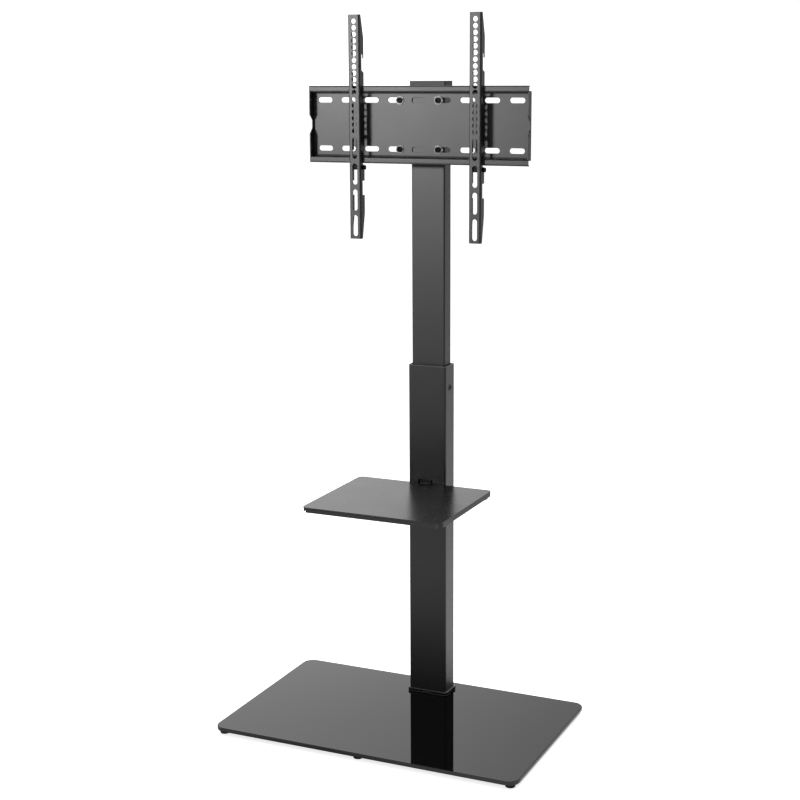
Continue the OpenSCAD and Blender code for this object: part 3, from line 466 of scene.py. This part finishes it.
# Painted contact shadow: the mirrors' glow fades out close round the base
contactShade = paper.step(outside, 0, mirror["contact"])
mirrored = (frontPart + backPart + nearPart + farPart) * rightShade * contactShade
mirrored = mirrored * paper.node("LightPath", output="Is Glossy Ray")
seen = floorLook["seen"] * paper.node("LightPath", output="Is Camera Ray")
glow = paper.node("Emission", inputs={"Color": paper.greyOf(seen + mirrored)})
paper.node("OutputMaterial", inputs={"Surface": paper.node("AddShader", inputs={0: lit, 1: glow})})
floorMesh.materials.append(paper.material)
print("floor laid")

# The studio round it: a white wall at the back left, brighter low down, a pale band near the horizon behind,
# a pale side at the right, and a dim front that is darker at its right. The camera itself sees plain white.
# Rises and falls are bearings in degrees from the back, of the wall to the left and of the side to the
# right. The other pairs are parts of a direction of length 1: its height, or its way to the back or right.
room = {"wall": 1.26, "wallRise": (-5, 35), "wallFall": (35, 100), "wallTop": (0.5, 0.8),
        "low": 0.33, "lowTop": (0.28, 0.4), "band": 1.0, "bandTop": (0.05, 0.22), "behind": (-0.3, 0.5),
        "side": 0.5, "sideRise": (35, 47), "sideFall": (65, 77), "sideTop": (0.25, 0.4),
        "dim": 0.08, "front": 0.5, "rightDark": 0.8, "rightFade": (0.2, 0.75)}
world = bpy.data.worlds.new("studio")
bpy.context.scene.world = world
sky = Finish(None, world)
towards = sky.node("TexCoord", output="Generated")
across, depth, height = (sky.axis(number, towards) for number in range(3))
leftTurn = (0 - across).maths("ARCTAN2", depth)
rightTurn = 0 - leftTurn
wall = sky.step(leftTurn, *np.radians(room["wallRise"]))
wall = wall * (1 - sky.step(leftTurn, *np.radians(room["wallFall"])))
wall = wall * (1 - sky.step(height, *room["wallTop"]))
lowGlow = 1 + room["low"] * (1 - sky.step(height, *room["lowTop"]))
wall = room["wall"] * wall * lowGlow
behind = sky.step(depth, *room["behind"])
band = room["band"] * (1 - sky.step(height, *room["bandTop"])) * behind
side = sky.step(rightTurn, *np.radians(room["sideRise"]))
side = side * (1 - sky.step(rightTurn, *np.radians(room["sideFall"])))
side = room["side"] * side * (1 - sky.step(height, *room["sideTop"]))
front = room["front"] * (1 - behind) * (1 - room["rightDark"] * sky.step(across, *room["rightFade"]))
level = wall.maths("MAXIMUM", band).maths("MAXIMUM", side).maths("MAXIMUM", room["dim"] + front)
level = level.maths("MAXIMUM", sky.node("LightPath", output="Is Camera Ray"))
sky.node("OutputWorld", inputs={"Surface": sky.node("Background", inputs={"Color": sky.greyOf(level)})})
print("studio set")


# The direction at a bearing right of the front and a height above the floor, both in degrees
def heading(bearing, height):
    a, e = math.radians(bearing), math.radians(height)
    return Vector((math.sin(a) * math.cos(e), -math.cos(a) * math.cos(e), math.sin(e)))


# Soft lamps: each stands at a bearing, height and distance from a middle, and shines at a target in a cone
lamps = {
    "keyLamp": {"middle": (0, 0.083, 1.169), "bearing": -31, "height": 7, "distance": 2.2,
                "target": (0.02, 0.083, 1.285), "size": (0.45, 0.2), "watts": 5.0, "cone": 50},
    "topLamp": {"middle": (0.3, 0.4, 0), "bearing": -200, "height": 75, "distance": 3.4,
                "target": (0.3, 0.4, 0), "size": (2.2, 2.2), "watts": 110, "cone": 180},
}
for name, look in lamps.items():
    lampData = bpy.data.lights.new(name, "AREA")
    lampData.shape = "RECTANGLE"
    lampData.size, lampData.size_y = look["size"]
    lampData.energy, lampData.spread = look["watts"], math.radians(look["cone"])
    lamp = bpy.data.objects.new(name, lampData)
    lamp.location = Vector(look["middle"]) + heading(look["bearing"], look["height"]) * look["distance"]
    lamp.rotation_mode = "QUATERNION"
    lamp.rotation_quaternion = (Vector(look["target"]) - lamp.location).to_track_quat("-Z", "Y")
    bpy.context.collection.objects.link(lamp)
print("lamps hung:", len(lamps))

# The camera stands where the photograph was taken from, rolled about its line of sight
camera = {"azimuth": 24.54, "elevation": 11.73, "roll": -0.32, "place": (1.22767, -2.69037, 1.26927),
          "lens": 71.32, "sensor": 36}
backward = heading(camera["azimuth"], camera["elevation"])
right = heading(camera["azimuth"] + 90, 0)
up = backward.cross(right)
roll = math.radians(camera["roll"])
rolledRight = right * math.cos(roll) + up * math.sin(roll)
rolledUp = up * math.cos(roll) - right * math.sin(roll)
turn = Matrix((rolledRight, rolledUp, backward)).transposed()
cameraData = bpy.data.cameras.new("camera")
cameraData.lens, cameraData.sensor_width = camera["lens"], camera["sensor"]
cameraObject = bpy.data.objects.new("camera", cameraData)
cameraObject.matrix_world = Matrix.Translation(camera["place"]) @ turn.to_4x4()
bpy.context.collection.objects.link(cameraObject)
bpy.context.scene.camera = cameraObject
bpy.context.scene.view_settings.view_transform = "Standard"
print("camera set")

bpy.context.view_layer.update()
